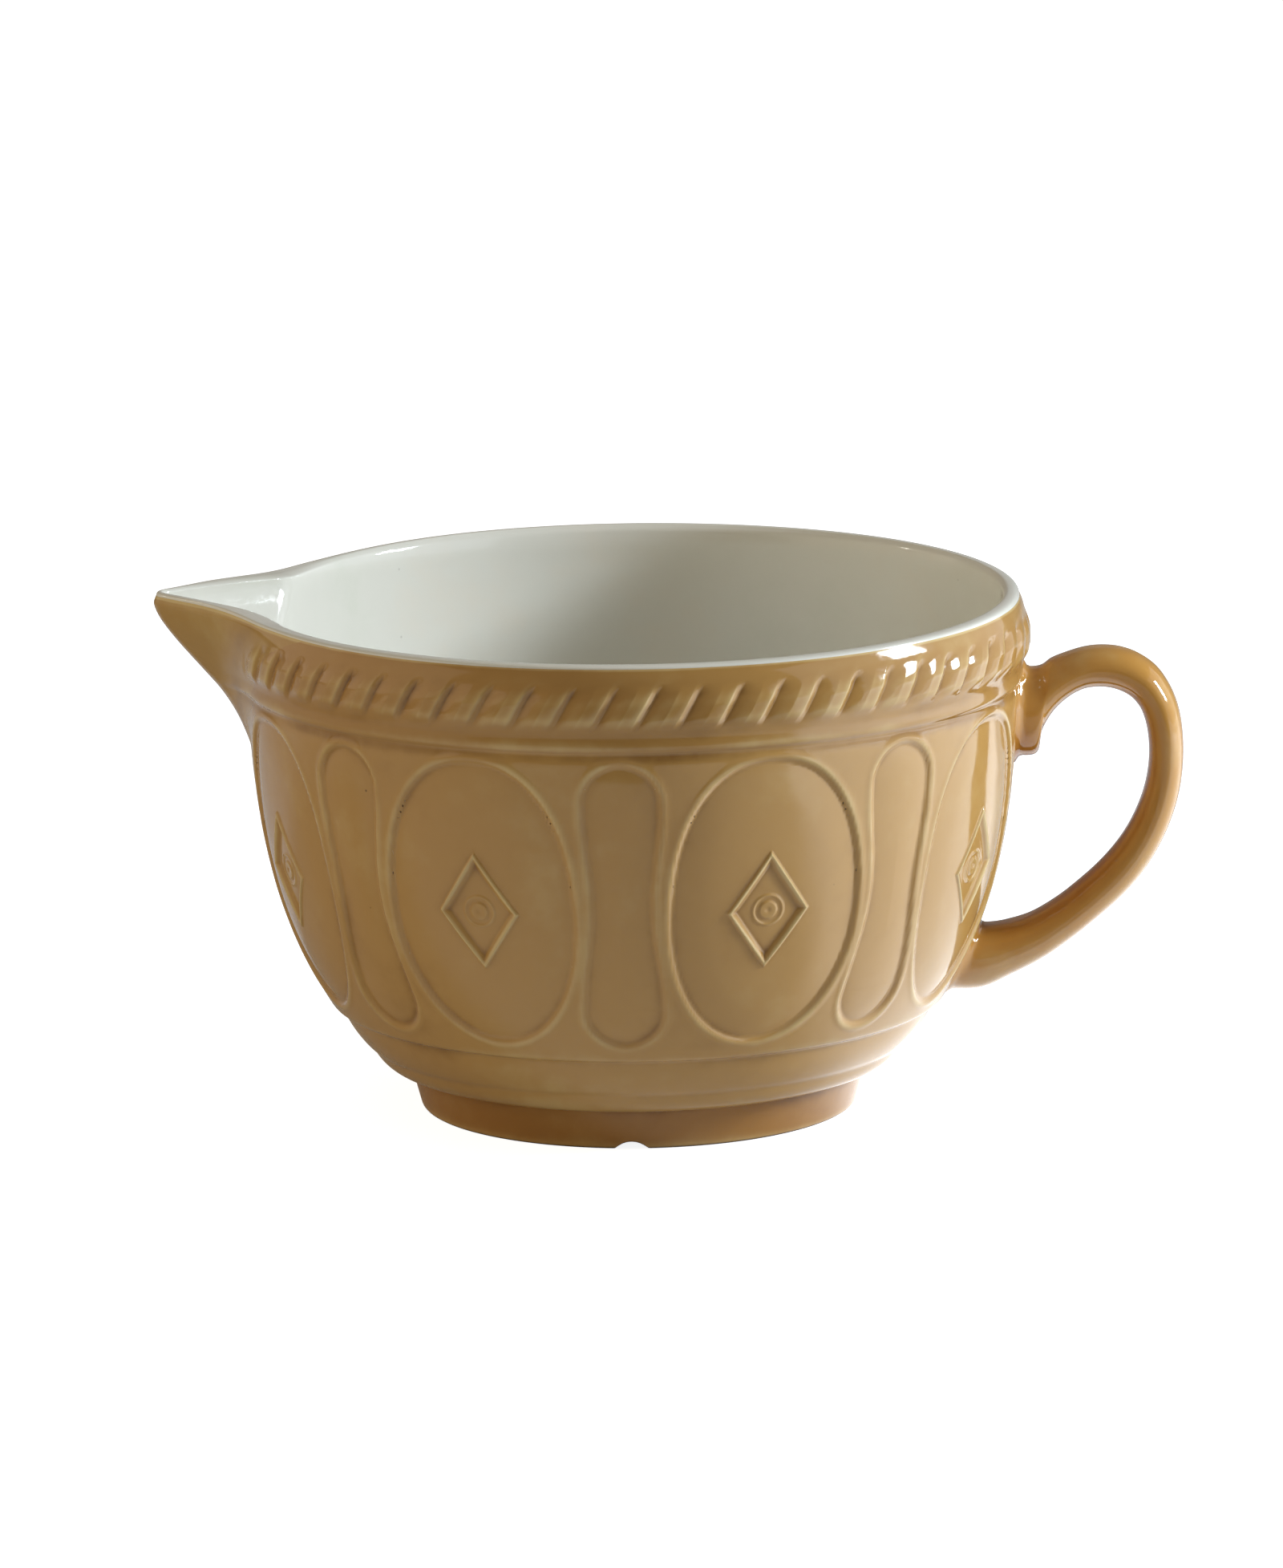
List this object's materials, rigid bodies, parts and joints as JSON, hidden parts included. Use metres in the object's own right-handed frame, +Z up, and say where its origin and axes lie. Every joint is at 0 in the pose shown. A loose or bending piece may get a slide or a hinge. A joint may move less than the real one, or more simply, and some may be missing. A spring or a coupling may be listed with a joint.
{
  "type": "batter bowl",
  "caption": "Glazed earthenware batter bowl with a pouring spout, a loop handle opposite, a moulded rope band under the rim and moulded ovals and lozenges on a rounded wall.",
  "frame": {"origin": "centre of the foot ring, on the plane that the bowl rests on", "axes": "+Z up along the bowl's axis, +X towards the handle, -X towards the spout, -Y towards the side that the picture shows"},
  "size_m": [0.2954, 0.227, 0.1498],
  "materials": {
    "foot_ring": "glossy cane glaze, rough at the resting edge",
    "bowl_body": "glossy cane glaze",
    "rope_collar": "glossy cane glaze, amber in the valleys",
    "rim_lip": "glossy white glaze",
    "spout": "glossy cane glaze",
    "handle": "glossy cane glaze",
    "inner_glaze": "glossy white lining glaze",
    "spout_glaze": "glossy white lining glaze",
    "oval_panels": "glossy cane glaze",
    "waisted_panels": "glossy cane glaze",
    "lozenge_frames": "glossy cane glaze",
    "ring_buttons": "glossy cane glaze"
  },
  "bodies": {
    "root": {"foot_ring": "foot_ring", "bowl_body": "bowl_body", "rope_collar": "rope_collar", "rim_lip": "rim_lip", "spout": "spout", "handle": "handle", "inner_glaze": "inner_glaze", "spout_glaze": "spout_glaze", "oval_panels": "oval_panels", "waisted_panels": "waisted_panels", "lozenge_frames": "lozenge_frames", "ring_buttons": "ring_buttons"}
  },
  "joints": []
}
